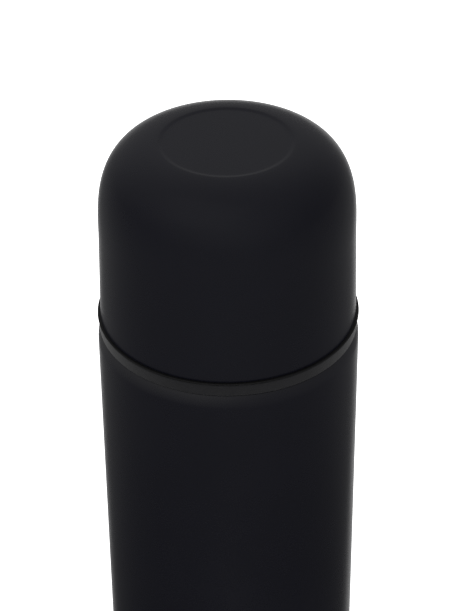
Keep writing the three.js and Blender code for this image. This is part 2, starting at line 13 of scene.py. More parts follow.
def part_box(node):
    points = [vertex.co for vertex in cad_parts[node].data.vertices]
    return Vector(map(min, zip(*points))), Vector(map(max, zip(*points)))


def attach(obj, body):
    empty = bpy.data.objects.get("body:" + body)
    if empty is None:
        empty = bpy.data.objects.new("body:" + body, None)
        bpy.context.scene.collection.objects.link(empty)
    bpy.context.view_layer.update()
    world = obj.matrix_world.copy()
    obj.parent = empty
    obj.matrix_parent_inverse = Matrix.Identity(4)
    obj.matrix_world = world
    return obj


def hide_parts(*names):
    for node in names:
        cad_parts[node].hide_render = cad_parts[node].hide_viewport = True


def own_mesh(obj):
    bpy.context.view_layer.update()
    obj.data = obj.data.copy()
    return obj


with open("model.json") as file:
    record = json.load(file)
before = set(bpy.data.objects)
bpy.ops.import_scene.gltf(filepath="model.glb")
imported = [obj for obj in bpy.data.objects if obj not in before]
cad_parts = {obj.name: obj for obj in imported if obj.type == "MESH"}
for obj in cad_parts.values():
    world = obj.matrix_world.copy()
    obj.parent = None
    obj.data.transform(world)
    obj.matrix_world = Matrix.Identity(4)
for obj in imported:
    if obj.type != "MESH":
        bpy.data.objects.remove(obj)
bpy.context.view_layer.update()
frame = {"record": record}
BODY_OF = {node: body for body, nodes in frame["record"]["behaviour"]["bodies"].items() for node in nodes}

MM = 0.001
TURN = 2 * math.pi

# Fineness of the meshes
WIDE_SIDES = 160
MIDDLE_SIDES = 96
SMALL_SIDES = 48
ARC_STEPS = 5
LONGEST_SETBACK = 0.49  # share of the shorter side that a fillet may take up
THREAD_ROW = 0.1  # height between the rows of faces where a wall carries a thread
ROWS_BELOW_THREAD = 1.6  # the close rows start this far below a thread's lower end
ROWS_ABOVE_THREAD = 1.8
WALL_LEAN = 1.2  # how far a wall that carries a thread may stray from its nominal radius
SUPPORT = 0.15  # a row of faces this close to each corner keeps the shading of the flats level
SHARP_ANGLE = math.radians(38)
ON_AXIS = 1e-6  # a row of points with a smaller radius is a single point
MERGE_DISTANCE = 1e-7

# Clearance left between pieces that touch on the real flask
TOUCH = 0.03


def reach(node):
    """Outside radius, lowest height and highest height of a round CAD node."""
    low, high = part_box(node)
    return high.x / MM, low.z / MM, high.z / MM


BODY_RADIUS, FOOT_BOTTOM, NECK_TOP = reach("outer_shell")
FLANGE_RADIUS, CUP_MOUTH, _ = reach("cup_liner")
CUP_BASE_RADIUS, _, CUP_TOP = reach("cup_shell")
VESSEL_RADIUS, VESSEL_FLOOR, MOUTH_TOP = reach("inner_vessel")
COLLAR_RADIUS, COLLAR_BOTTOM, COLLAR_TOP = reach("neck_collar")

SHEET = 0.5  # steel wall
GAP = 0.3  # the CAD model's clearance between neighbouring pieces
BODY_TOP = COLLAR_BOTTOM - GAP
BODY_SHOULDER_REACH = 0.8  # how far the body's wall draws in below the ledge
BODY_SHOULDER_DROP = 4
BODY_SHOULDER_STEPS = 12
NECK_RADIUS = 27.5

# Cup, as in the CAD model but with fine curves
CUP_SHOULDER_RADIUS = 33.6
CUP_SHOULDER_HEIGHT = 25.7
CUP_CROWN_RADIUS = 11
CUP_CROWN_RISE = 0.2
CUP_CURVE_POWER = 3.1
DISH_RADIUS = 17.7
DISH_EDGE = 1.5
DISH_DEPTH = 0.2
FLANGE_THICKNESS = 0.4
LINER_INSET = 0.8
LINER_INSIDE = 2.3
DOME_STEPS = 40
DISH_STEPS = 10

# Threads: two right-hand starts, on the cup and on the stopper
THREAD_STARTS = 2
THREAD_PITCH = 4
THREAD_LEAD = THREAD_STARTS * THREAD_PITCH
THREAD_BASE_HALF = 1.1
THREAD_CREST_HALF = 0.5
THREAD_FADE = 0.12
COLLAR_CORE_RADIUS = 30
COLLAR_CREST_RADIUS = 31.2
COLLAR_BAND_TOP = CUP_MOUTH - GAP
CUP_CREST_RADIUS = 30.4
CUP_THREAD_START = 195.5
CUP_THREAD_TURNS = 0.65
COLLAR_THREAD_TURNS = 0.8
BORE_RADIUS = 25
BORE_CREST_RADIUS = 23.4
STOPPER_CREST_RADIUS = 24.1
STOPPER_THREAD_START = 193
STOPPER_THREAD_TURNS = 0.7


# Outlines

def rounded(*corners, closed=True):
    """An outline through (radius, height) or (radius, height, fillet) corners, with arcs for the fillets."""
    points = []
    count = len(corners)
    for i, corner in enumerate(corners):
        here = Vector(corner[:2])
        fillet = corner[2] if len(corner) > 2 else 0
        if fillet == 0 or (not closed and i in (0, count - 1)):
            points.append(here)
            continue
        before = Vector(corners[i - 1][:2]) - here
        after = Vector(corners[(i + 1) % count][:2]) - here
        half = before.angle(after) / 2
        longest = LONGEST_SETBACK * min(before.length, after.length)
        setback = min(fillet / math.tan(half), longest)
        radius = setback * math.tan(half)
        centre = here + (before.normalized() + after.normalized()).normalized() * radius / math.sin(half)
        first = here + before.normalized() * setback - centre
        last = here + after.normalized() * setback - centre
        sweep = math.atan2(first.cross(last), first.dot(last))
        for k in range(ARC_STEPS + 1):
            points.append(centre + Matrix.Rotation(sweep * k / ARC_STEPS, 2) @ first)
    return supported(points, closed)


def rectangle(inside, outside, bottom, top, fillets=(0.2, 0.2, 0.2, 0.2)):
    """The outline of a flat ring, with a fillet for each corner from the inner bottom one round."""
    corners = ((inside, bottom), (outside, bottom), (outside, top), (inside, top))
    return rounded(*((*corner, fillet) for corner, fillet in zip(corners, fillets)))


def stretches(points, closed):
    """Each point with the next one. An open outline has none after its last point."""
    return zip(points, [*points[1:], points[0] if closed else None])


def supported(points, closed):
    """The outline with an extra point close to each end of its long straight stretches."""
    result = []
    for point, after in stretches(points, closed):
        result.append(point)
        if after is None:
            break
        step = after - point
        if step.length > 4 * SUPPORT:
            result.append(point + step.normalized() * SUPPORT)
            result.append(point + step - step.normalized() * SUPPORT)
    return result


def with_rows(points, low, high, wall_radius, closed=True):
    """The outline with close rows on its upright stretch at wall_radius, between two heights."""
    nearest_end = 0.001  # share of a stretch within which a row would fall on its end
    result = []
    for point, after in stretches(points, closed):
        result.append(point)
        if after is None:
            break
        upright = abs(point.x - wall_radius) < WALL_LEAN and abs(after.x - wall_radius) < WALL_LEAN
        bottom = max(low, min(point.y, after.y))
        top = min(high, max(point.y, after.y))
        if not upright or top - bottom < 2 * THREAD_ROW:
            continue
        rows = round((top - bottom) / THREAD_ROW)
        heights = [bottom + (top - bottom) * k / rows for k in range(rows + 1)]
        if after.y < point.y:
            heights.reverse()
        for height in heights:
            share = (height - point.y) / (after.y - point.y)
            if nearest_end < share < 1 - nearest_end:
                result.append(point.lerp(after, share))
    return result


def thread_rows(points, start_z, turns, wall_radius, closed=True):
    """The outline with close rows wherever a thread will be raised on the wall at wall_radius."""
    low = start_z - ROWS_BELOW_THREAD
    high = start_z + turns * THREAD_LEAD + ROWS_ABOVE_THREAD
    return with_rows(points, low, high, wall_radius, closed)


def cup_outline(inset, lower_edge):
    """The outer face of the cup moved inwards by an inset, from its lower edge to the centre of the dish."""
    wall_support = 0.02
    bunching = 1.5  # steps closer together near the shoulder, where the curve bends slowly away from the wall
    shoulder_z = CUP_MOUTH + CUP_SHOULDER_HEIGHT
    crown_z = CUP_TOP + CUP_CROWN_RISE - inset
    span = CUP_SHOULDER_RADIUS - inset - CUP_CROWN_RADIUS
    last_angle = math.acos(((DISH_RADIUS - CUP_CROWN_RADIUS) / span) ** (CUP_CURVE_POWER / 2))
    points = [Vector((CUP_BASE_RADIUS - inset, lower_edge))]
    points.append(points[0].lerp(Vector((CUP_SHOULDER_RADIUS - inset, shoulder_z)), wall_support))
    for i in range(DOME_STEPS + 1):
        angle = last_angle * (i / DOME_STEPS) ** bunching
        across = math.cos(angle) ** (2 / CUP_CURVE_POWER)
        up = math.sin(angle) ** (2 / CUP_CURVE_POWER)
        points.append(Vector((CUP_CROWN_RADIUS + span * across, shoulder_z + (crown_z - shoulder_z) * up)))
    rim = points[-1]
    for i in range(1, DISH_STEPS + 1):
        share = i / DISH_STEPS
        drop = DISH_DEPTH * (1 - math.cos(math.pi * share)) / 2
        points.append(Vector((rim.x - DISH_EDGE * share, rim.y - drop)))
    floor = points[-1]
    for share in (0.92, 0.7, 0.4, 0.15):
        points.append(Vector((floor.x * share, floor.y)))
    points.append(Vector((0, floor.y)))
    return points


# Solids

def smoothstep(value):
    """An even ramp from 0 to 1 that starts and ends level."""
    value = min(1, max(0, value))
    return value * value * (3 - 2 * value)


def thread_height(angle, height, start_z, turns):
    """How far a point is up the ridge of a two-start thread, from 0 on the wall to 1 on the crest."""
    best = 0
    for start in range(THREAD_STARTS):
        turn = (angle / TURN - start / THREAD_STARTS) % 1
        if turn > turns:
            continue
        off = abs(height - start_z - turn * THREAD_LEAD)
        flank = smoothstep((THREAD_BASE_HALF - off) / (THREAD_BASE_HALF - THREAD_CREST_HALF))
        fade = smoothstep(min(turn, turns - turn) / THREAD_FADE)
        best = max(best, flank * fade)
    return best


def threaded(wall_radius, crest_radius, start_z, turns):
    """A shape for revolve() that raises a thread on the wall at wall_radius."""
    margin = 0.3
    both_faces = 0.8  # takes in both faces of a thin wall
    low = start_z - THREAD_BASE_HALF - margin
    high = start_z + turns * THREAD_LEAD + THREAD_BASE_HALF + margin

    def shape(radius, height, angle):
        if abs(radius - wall_radius) > both_faces or not low < height < high:
            return radius
        return radius + (crest_radius - wall_radius) * thread_height(angle, height, start_z, turns)

    return shape


def shade_smooth(mesh):
    """Smooth shading, broken only where the faces fold sharply."""
    for polygon in mesh.polygons:
        polygon.use_smooth = True
    mesh.set_sharp_from_angle(angle=SHARP_ANGLE)


def object_from(name, mesh_data):
    """A new object with smooth faces that all face outwards."""
    mesh = bpy.data.meshes.new(name)
    bmesh.ops.recalc_face_normals(mesh_data, faces=mesh_data.faces)
    mesh_data.to_mesh(mesh)
    mesh_data.free()
    shade_smooth(mesh)
    piece = bpy.data.objects.new(name, mesh)
    bpy.context.scene.collection.objects.link(piece)
    return piece


def revolve(name, outline, sides=WIDE_SIDES, closed=True, shape=None, angles=None):
    """A closed body of revolution about Z. An open outline starts and ends on the axis.

    A shape, if there is one, gives the radius to use at a radius, a height and an angle.
    """
    angles = angles or [TURN * i / sides for i in range(sides)]
    mesh_data = bmesh.new()
    rows = []
    for radius, height in outline:
        if radius < ON_AXIS:
            rows.append([mesh_data.verts.new((0, 0, height * MM))])
            continue
        row = []
        for angle in angles:
            reached = shape(radius, height, angle) if shape else radius
            row.append(mesh_data.verts.new((
                reached * MM * math.cos(angle),
                reached * MM * math.sin(angle),
                height * MM,
            )))
        rows.append(row)
    pairs = list(zip(rows, rows[1:]))
    if closed:
        pairs.append((rows[-1], rows[0]))
    count = len(angles)
    for lower, upper in pairs:
        for i in range(count):
            j = (i + 1) % count
            around = ((lower, i), (lower, j), (upper, j), (upper, i))
            corners = list(dict.fromkeys(row[k % len(row)] for row, k in around))  # three beside the axis
            if len(corners) > 2:
                mesh_data.faces.new(corners)
    return object_from(name, mesh_data)


def loft(name, rings):
    """A closed solid through rings of points in millimetres, with flat ends."""
    mesh_data = bmesh.new()
    made = [[mesh_data.verts.new(Vector(point) * MM) for point in ring] for ring in rings]
    for lower, upper in zip(made, made[1:]):
        for i in range(len(lower)):
            j = (i + 1) % len(lower)
            mesh_data.faces.new((lower[i], lower[j], upper[j], upper[i]))
    mesh_data.faces.new(made[0])
    mesh_data.faces.new(made[-1])
    return object_from(name, mesh_data)


def tube(name, points, wire_radius, sides=12):
    """A closed round tube through a list of points in millimetres."""
    angles = [TURN * k / sides for k in range(sides)]
    rings = []
    for i, point in enumerate(points):
        ahead = points[min(i + 1, len(points) - 1)] - points[max(i - 1, 0)]
        ahead.normalize()
        across = ahead.cross(Vector((0, 0, 1))).normalized()
        up = across.cross(ahead)
        rings.append([point + wire_radius * (across * math.cos(a) + up * math.sin(a)) for a in angles])
    return loft(name, rings)


def boolean(piece, other, operation):
    """Joins or cuts two closed meshes for good, and removes the second."""
    modifier = piece.modifiers.new("boolean", "BOOLEAN")
    modifier.operation = operation
    modifier.solver = "EXACT"
    modifier.object = other
    depsgraph = bpy.context.evaluated_depsgraph_get()
    mesh = bpy.data.meshes.new_from_object(piece.evaluated_get(depsgraph))
    piece.modifiers.clear()
    piece.data = mesh
    bpy.data.objects.remove(other)
    mesh_data = bmesh.new()
    mesh_data.from_mesh(mesh)
    bmesh.ops.remove_doubles(mesh_data, verts=mesh_data.verts, dist=MERGE_DISTANCE)
    bmesh.ops.dissolve_degenerate(mesh_data, edges=mesh_data.edges, dist=MERGE_DISTANCE)
    mesh_data.to_mesh(mesh)
    mesh_data.free()
    shade_smooth(mesh)


def place(piece, node, material):
    """Puts a finished piece where its CAD node is, on the same body. Its material knows its own slot."""
    piece.data.materials.clear()
    piece.data.materials.append(material)
    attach(piece, BODY_OF[node])
    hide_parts(node)


def lathe(node, material, outline, sides=WIDE_SIDES, **options):
    """Makes the body of revolution that stands for a CAD node."""
    place(revolve(node + "_fine", outline, sides, **options), node, material)


# Materials

class Tree:
    """A short way to build a node tree."""

    def __init__(self, tree):
        self.tree = tree

    def add(self, kind, inputs=None, **settings):
        """A new node, with its inputs linked or set."""
        node = self.tree.nodes.new(kind)
        for key, value in settings.items():
            setattr(node, key, value)
        for key, value in (inputs or {}).items():
            if isinstance(value, bpy.types.NodeSocket):
                self.tree.links.new(value, node.inputs[key])
            else:
                node.inputs[key].default_value = value
        return node

    def spread(self, value, low, high, from_low=0.3, from_high=0.7):
        """The value stretched from one range, such as a noise's usual one, to low..high, and held there."""
        inputs = {"Value": value, "From Min": from_low, "From Max": from_high, "To Min": low, "To Max": high}
        return self.add("ShaderNodeMapRange", inputs).outputs["Result"]

    def sum(self, first, second, share):
        """first plus share times second."""
        node = self.add("ShaderNodeMath", {0: second, 1: share, 2: first}, operation="MULTIPLY_ADD")
        return node.outputs[0]

    def product(self, first, second):
        return self.add("ShaderNodeMath", {0: first, 1: second}, operation="MULTIPLY").outputs[0]

    def vector(self, operation, *vectors, result="Vector"):
        """What an operation on vectors gives. Where that is a number, its result is called Value."""
        node = self.add("ShaderNodeVectorMath", dict(enumerate(vectors)), operation=operation)
        return node.outputs[result]

    def x_of(self, vector):
        return self.add("ShaderNodeSeparateXYZ", {"Vector": vector}).outputs["X"]


class Nodes(Tree):
    """A short way to build a material of nodes. A piece's material is named for its slot in the record."""

    def __init__(self, name, **values):
        self.material = bpy.data.materials.new(name)
        self.material["slot"] = name
        self.material.use_nodes = True
        super().__init__(self.material.node_tree)
        self.shader = self.tree.nodes["Principled BSDF"]
        for key, value in values.items():
            self.shader.inputs[key.replace("_", " ")].default_value = value
        self.position = self.add("ShaderNodeTexCoord").outputs["Object"]

    def noise(self, per_mm, detail=2, roughness=0.5, position=None):
        """Even noise with about per_mm grains to a millimetre."""
        inputs = {
            "Vector": position or self.position,
            "Scale": per_mm / MM,
            "Detail": detail,
            "Roughness": roughness,
        }
        return self.add("ShaderNodeTexNoise", inputs).outputs["Fac"]

    def cells(self, per_mm, position=None):
        """Distance to the nearest of the scattered points, with about per_mm points to a millimetre."""
        inputs = {"Vector": position or self.position, "Scale": per_mm / MM}
        return self.add("ShaderNodeTexVoronoi", inputs).outputs["Distance"]

    def tint(self, value, first, second, from_low=0.3, from_high=0.7):
        """The first colour, or a node's colour, turning into the second as the value goes up its range."""
        factor, first_colour, second_colour, result = 0, 6, 7, 2  # sockets of a Mix node that mixes colours
        if not isinstance(first, bpy.types.NodeSocket):
            first = (*first, 1)
        share = self.spread(value, 0, 1, from_low, from_high)
        inputs = {factor: share, first_colour: first, second_colour: (*second, 1)}
        return self.add("ShaderNodeMix", inputs, data_type="RGBA").outputs[result]

    def stretched(self, x, y, z):
        return self.add("ShaderNodeMapping", {"Vector": self.position, "Scale": (x, y, z)}).outputs["Vector"]

    def around(self):
        """Distance from the axis, and height."""
        split = self.add("ShaderNodeSeparateXYZ", {"Vector": self.position}).outputs
        flat = self.add("ShaderNodeCombineXYZ", {"X": split["X"], "Y": split["Y"]}).outputs[0]
        return self.vector("LENGTH", flat, result="Value"), split["Z"]

    def finish(self, colour, roughness=None, height=None, depth_mm=None):
        """The material, with its colour, roughness and fine relief, where it has them, in the shader."""
        self.tree.links.new(colour, self.shader.inputs["Base Color"])
        if roughness is not None:
            self.tree.links.new(roughness, self.shader.inputs["Roughness"])
        if height is not None:
            bump = self.add("ShaderNodeBump", {"Height": height, "Distance": depth_mm * MM, "Strength": 1.0})
            self.tree.links.new(bump.outputs["Normal"], self.shader.inputs["Normal"])
        return self.material


def painted_shoulder_highlight(nodes, patches):
    """How far the paint is lightened by a painted highlight, in an uneven band under the collar that fades
    out downwards.

    The painted highlight is stronger on the left. Only the body has it, not the cup.
    """
    on_left = 1.15
    on_right = 0.45
    half_width = 8 * MM
    _, level = nodes.around()
    below_cup = nodes.spread(level, 1, 0, (BODY_TOP + 1) * MM, (BODY_TOP + 2) * MM)
    up_shoulder = nodes.spread(level, -0.2, 1, (BODY_TOP - BODY_SHOULDER_DROP) * MM, BODY_TOP * MM)
    patchy = nodes.spread(nodes.sum(up_shoulder, patches, 0.5), 0, 1, 0.2, 1.3)
    across = nodes.spread(nodes.x_of(nodes.position), on_left, on_right, -half_width, half_width)
    return nodes.product(nodes.product(patchy, below_cup), across)


def black_paint():
    """Matte black paint with a fine soft-touch grain and slight unevenness in its sheen."""
    nodes = Nodes("black_paint")
    grain = nodes.noise(2.6, detail=3)
    flow = nodes.noise(0.35, detail=2)
    handling = nodes.noise(0.03, detail=4, roughness=0.6)
    speck = nodes.cells(3.2)
    paint = nodes.tint(handling, (0.0160, 0.0165, 0.0310), (0.0200, 0.0205, 0.0370))
    # Painted highlight: the body's shoulder under the collar is lightened towards a pale grey, most on the
    # left.
    colour = nodes.tint(painted_shoulder_highlight(nodes, handling), paint, (0.075, 0.075, 0.085), 0, 1)
    roughness = nodes.spread(nodes.sum(handling, grain, 0.35), 0.23, 0.30, 0.45, 0.85)
    height = nodes.sum(nodes.sum(grain, flow, 0.7), speck, 0.35)
    return nodes.finish(colour, roughness, height, depth_mm=0.008)


def brushed_steel():
    """Stainless steel with fine scratches that run round the axis."""
    nodes = Nodes("steel", Metallic=1.0)
    radius, height = nodes.around()
    ringed = nodes.add("ShaderNodeCombineXYZ", {"X": radius, "Z": height}).outputs[0]
    lines = nodes.noise(9, detail=4, roughness=0.7, position=ringed)
    broken = nodes.noise(0.8, detail=3)
    cloud = nodes.noise(0.05, detail=3)
    scratch = nodes.sum(lines, broken, 0.35)
    colour = nodes.tint(cloud, (0.52, 0.52, 0.51), (0.62, 0.62, 0.60))
    roughness = nodes.spread(nodes.sum(scratch, cloud, 0.3), 0.24, 0.42, 0.5, 1.1)
    return nodes.finish(colour, roughness, scratch, depth_mm=0.006)


def bright_wire():
    """Drawn stainless wire and screws: bright, with fine draw marks."""
    nodes = Nodes("screw_steel", Metallic=1.0)
    marks = nodes.noise(14, detail=4, roughness=0.65)
    cloud = nodes.noise(0.4, detail=2)
    colour = nodes.tint(cloud, (0.50, 0.50, 0.49), (0.60, 0.60, 0.58))
    roughness = nodes.spread(nodes.sum(marks, cloud, 0.5), 0.2, 0.34, 0.5, 1.0)
    return nodes.finish(colour, roughness, marks, depth_mm=0.004)


def crinkled_foil():
    """Bright foil, creased where it was wrapped by hand."""
    nodes = Nodes("foil", Metallic=1.0)
    creases = nodes.cells(0.16, nodes.stretched(1, 1, 0.5))
    ripple = nodes.noise(0.6, detail=4, roughness=0.6)
    colour = nodes.tint(ripple, (0.78, 0.78, 0.79), (0.88, 0.88, 0.89))
    roughness = nodes.spread(ripple, 0.14, 0.26)
    return nodes.finish(colour, roughness, nodes.sum(creases, ripple, 0.5), depth_mm=0.25)


def grained_plastic(name, dark, light, roughness_low, roughness_high, grain_per_mm, depth_mm, **values):
    """Moulded plastic with an even spark-eroded grain."""
    nodes = Nodes(name, **values)
    grain = nodes.noise(grain_per_mm, detail=3, roughness=0.6)
    pits = nodes.cells(grain_per_mm * 0.8)
    flow = nodes.noise(0.08, detail=3)
    uneven = nodes.sum(grain, flow, 0.5)
    colour = nodes.tint(uneven, dark, light, 0.55, 0.95)
    roughness = nodes.spread(uneven, roughness_low, roughness_high, 0.55, 0.95)
    return nodes.finish(colour, roughness, nodes.sum(grain, pits, 0.5), depth_mm=depth_mm)


def silicone():
    """Pale translucent silicone with a faint cloudiness and a dusting that dulls it."""
    nodes = Nodes("silicone", Subsurface_Weight=0.6, Subsurface_Scale=0.002, IOR=1.41)
    cloud = nodes.noise(0.25, detail=4)
    dust = nodes.noise(5, detail=3)
    colour = nodes.tint(cloud, (0.50, 0.50, 0.47), (0.60, 0.60, 0.57))
    roughness = nodes.spread(nodes.sum(cloud, dust, 0.5), 0.38, 0.55, 0.5, 1.0)
    return nodes.finish(colour, roughness, dust, depth_mm=0.006)


def rubber():
    """Matte black rubber with a coarse moulded grain."""
    nodes = Nodes("rubber")
    grain = nodes.noise(3.5, detail=4, roughness=0.65)
    scuff = nodes.noise(0.09, detail=4, roughness=0.65)
    colour = nodes.tint(scuff, (0.010, 0.010, 0.010), (0.018, 0.018, 0.018))
    roughness = nodes.spread(nodes.sum(scuff, grain, 0.4), 0.68, 0.88, 0.5, 0.95)
    return nodes.finish(colour, roughness, grain, depth_mm=0.03)


def bead_foam():
    """White foam of small fused beads."""
    nodes = Nodes("foam")
    beads = nodes.cells(0.6)
    fine = nodes.noise(4, detail=3)
    colour = nodes.tint(beads, (0.84, 0.83, 0.79), (0.66, 0.65, 0.60), 0.1, 0.7)
    roughness = nodes.spread(fine, 0.8, 0.95)
    height = nodes.sum(fine, beads, -2.0)
    return nodes.finish(colour, roughness, height, depth_mm=0.2)


PAINT = black_paint()
STEEL = brushed_steel()
WIRE = bright_wire()
FOIL = crinkled_foil()
COLLAR_PLASTIC = grained_plastic(
    "collar_plastic", (0.025, 0.025, 0.030), (0.049, 0.049, 0.057), 0.34, 0.46, 3.6, 0.045,
    Sheen_Weight=1.0, Sheen_Roughness=0.45,
)
LINER_PLASTIC = grained_plastic(
    "liner_plastic", (0.0130, 0.0130, 0.0138), (0.0190, 0.0190, 0.0200), 0.42, 0.52, 6.0, 0.008
)
STOPPER_PLASTIC = grained_plastic(
    "stopper_plastic", (0.010, 0.010, 0.010), (0.015, 0.015, 0.015), 0.40, 0.52, 5.0, 0.014
)
BUTTON_PLASTIC = grained_plastic(
    "button_plastic", (0.075, 0.075, 0.080), (0.098, 0.098, 0.103), 0.38, 0.50, 4.0, 0.018
)
SILICONE = silicone()
RUBBER = rubber()
FOAM = bead_foam()


# Flask body

def body_shoulder(inset, fillet):
    """The body's wall where it draws in to the ledge, as an arc moved inwards by an inset."""
    radius = (BODY_SHOULDER_DROP ** 2 + BODY_SHOULDER_REACH ** 2) / (2 * BODY_SHOULDER_REACH)
    middle = Vector((BODY_RADIUS - radius, BODY_TOP - BODY_SHOULDER_DROP))
    radius -= inset
    sweep = math.asin((BODY_SHOULDER_DROP - inset) / radius)
    angles = [sweep * k / BODY_SHOULDER_STEPS for k in range(BODY_SHOULDER_STEPS)]
    points = [tuple(middle + radius * Vector((math.cos(a), math.sin(a)))) for a in angles]
    edge = middle + radius * Vector((math.cos(sweep), math.sin(sweep)))
    return [*points, (edge.x, edge.y, fillet)]


def outer_shell():
    foot = 3
    neck_fillet = 1
    outline = rounded(
        (BODY_RADIUS - foot - SHEET, FOOT_BOTTOM),
        (BODY_RADIUS, FOOT_BOTTOM, foot),
        *body_shoulder(0, 0.3),
        (NECK_RADIUS, BODY_TOP, neck_fillet),
        (NECK_RADIUS, NECK_TOP, 0.15),
        (NECK_RADIUS - SHEET, NECK_TOP, 0.15),
        (NECK_RADIUS - SHEET, BODY_TOP - SHEET, neck_fillet + SHEET),
        *reversed(body_shoulder(SHEET, 0.1)),
        (BODY_RADIUS - SHEET, FOOT_BOTTOM + SHEET, foot - SHEET),
        (BODY_RADIUS - foot - SHEET, FOOT_BOTTOM + SHEET),
    )
    lathe("outer_shell", PAINT, outline)


def inner_vessel():
    floor_fillet = 8
    shoulder_z = 176
    throat = 20.5
    throat_top = 187
    shoulder_steps = 16
    span = VESSEL_RADIUS - throat

    def shoulder(inset):
        rise = throat_top - SHEET - shoulder_z - inset
        return [
            (throat - inset + span * math.cos(a), shoulder_z + rise * math.sin(a))
            for a in (TURN / 4 * k / shoulder_steps for k in range(shoulder_steps + 1))
        ]

    outline = rounded(
        (0, VESSEL_FLOOR),
        (VESSEL_RADIUS, VESSEL_FLOOR, floor_fillet),
        *shoulder(0),
        (BORE_RADIUS, throat_top - SHEET, 0.6),
        (BORE_RADIUS, MOUTH_TOP - SHEET, 0.3),
        (NECK_RADIUS, MOUTH_TOP - SHEET, 0.2),
        (NECK_RADIUS, MOUTH_TOP, 0.24),
        (BORE_RADIUS - SHEET, MOUTH_TOP, 0.6),
        (BORE_RADIUS - SHEET, throat_top, 0.3),
        (throat - SHEET, throat_top, 0.3),
        *reversed(shoulder(SHEET)),
        (VESSEL_RADIUS - SHEET, VESSEL_FLOOR + SHEET, floor_fillet - SHEET),
        (0, VESSEL_FLOOR + SHEET),
        closed=False,
    )
    wall = BORE_RADIUS - SHEET
    start = STOPPER_THREAD_START + THREAD_PITCH / 2
    outline = thread_rows(outline, start, STOPPER_THREAD_TURNS, wall, closed=False)
    # The thread is rolled into the sheet, so it shows on both of its faces
    thread = threaded(wall, BORE_CREST_RADIUS, start, STOPPER_THREAD_TURNS)
    lathe("inner_vessel", STEEL, outline, closed=False, shape=thread)


def base_plate():
    outside, bottom, top = reach("base_plate")
    hole = 1.3
    underside = top - SHEET
    outline = rounded(
        (hole, underside, 0.1),
        (outside - SHEET, underside, 0.8),
        (outside - SHEET, bottom),
        (outside, bottom, 0.15),
        (outside, top, 1.2),
        (hole, top, 0.1),
    )
    lathe("base_plate", STEEL, outline)


def vacuum_seal_plug():
    outside, bottom, top = reach("vacuum_seal_plug")
    neck = 0.9
    head_slope = 0.6
    head_top = bottom + 0.9
    outline = rounded(
        (0, bottom),
        (outside - head_slope, bottom, 0.4),
        (outside, head_top, 0.2),
        (neck, head_top, 0.15),
        (neck, top, 0.2),
        (0, top),
        closed=False,
    )
    lathe("vacuum_seal_plug", STEEL, outline, SMALL_SIDES, closed=False)


def base_pad():
    outside, bottom, top = reach("base_pad")
    recess = 5
    recess_floor = top - 1.2
    dish = 6
    dish_slope = 0.6
    ring_count = 5
    first_ring = 10.4
    ring_step = 3.7
    groove_half = 0.55
    groove_floor_half = groove_half * 0.6
    groove_top = bottom + 0.35
    corners = [(0, groove_top), (dish, groove_top, 0.3), (dish + dish_slope, bottom, 0.3)]
    for i in range(ring_count):
        middle = first_ring + i * ring_step
        corners += [
            (middle - groove_half, bottom, 0.15),
            (middle - groove_floor_half, groove_top, 0.12),
            (middle + groove_floor_half, groove_top, 0.12),
            (middle + groove_half, bottom, 0.15),
        ]
    corners += [
        (outside, bottom, 0.8),
        (outside, top, 0.3),
        (recess, top, 0.2),
        (recess, recess_floor, 0.3),
        (0, recess_floor),
    ]
    lathe("base_pad", RUBBER, rounded(*corners, closed=False), closed=False)


def radiation_foil():
    outside, bottom, top = reach("radiation_foil")
    rows = 90
    inside = outside - 0.3
    crease_room = 0.06
    creases_round = 3.2
    creases_up = 0.09
    crease_depth = 0.05
    wrinkle_depth = 0.03
    wrinkles_per_crease = 3.1
    outer = [(outside - crease_room, bottom + (top - bottom) * k / rows) for k in range(rows + 1)]
    inner = [(inside + crease_room, z) for _, z in reversed(outer)]

    def crumpled(radius, height, angle):
        """Shallow creases that move both faces of the sheet together."""
        spot = Vector((math.cos(angle) * creases_round, math.sin(angle) * creases_round, height * creases_up))
        creased = radius + crease_depth * noise.noise(spot)
        return creased + wrinkle_depth * noise.noise(spot * wrinkles_per_crease)

    outline = [Vector(point) for point in outer + inner]
    lathe("radiation_foil", FOIL, outline, shape=crumpled)


def getter_capsule():
    """A shallow pressed tray that holds a ring of getter metal."""
    low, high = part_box("getter_capsule")
    centre = (low + high) / 2
    outside = (high.x - low.x) / 2 / MM
    half = (high.z - low.z) / 2 / MM
    wall_slope = 0.3
    rim = 0.5
    trough_outside = outside - 0.9
    trough_inside = 1.6
    trough_floor = half - 0.7
    hub = 1.1
    hub_top = half - 0.1
    outline = rounded(
        (0, -half),
        (outside - wall_slope, -half, 0.4),
        (outside, half, 0.15),
        (outside - rim, half, 0.15),
        (trough_outside, trough_floor, 0.3),
        (trough_inside, trough_floor, 0.3),
        (hub, hub_top, 0.3),
        (0, hub_top),
        closed=False,
    )
    piece = revolve("getter_capsule_fine", outline, SMALL_SIDES, closed=False)
    piece.data.transform(Matrix.Translation(centre))
    place(piece, "getter_capsule", STEEL)


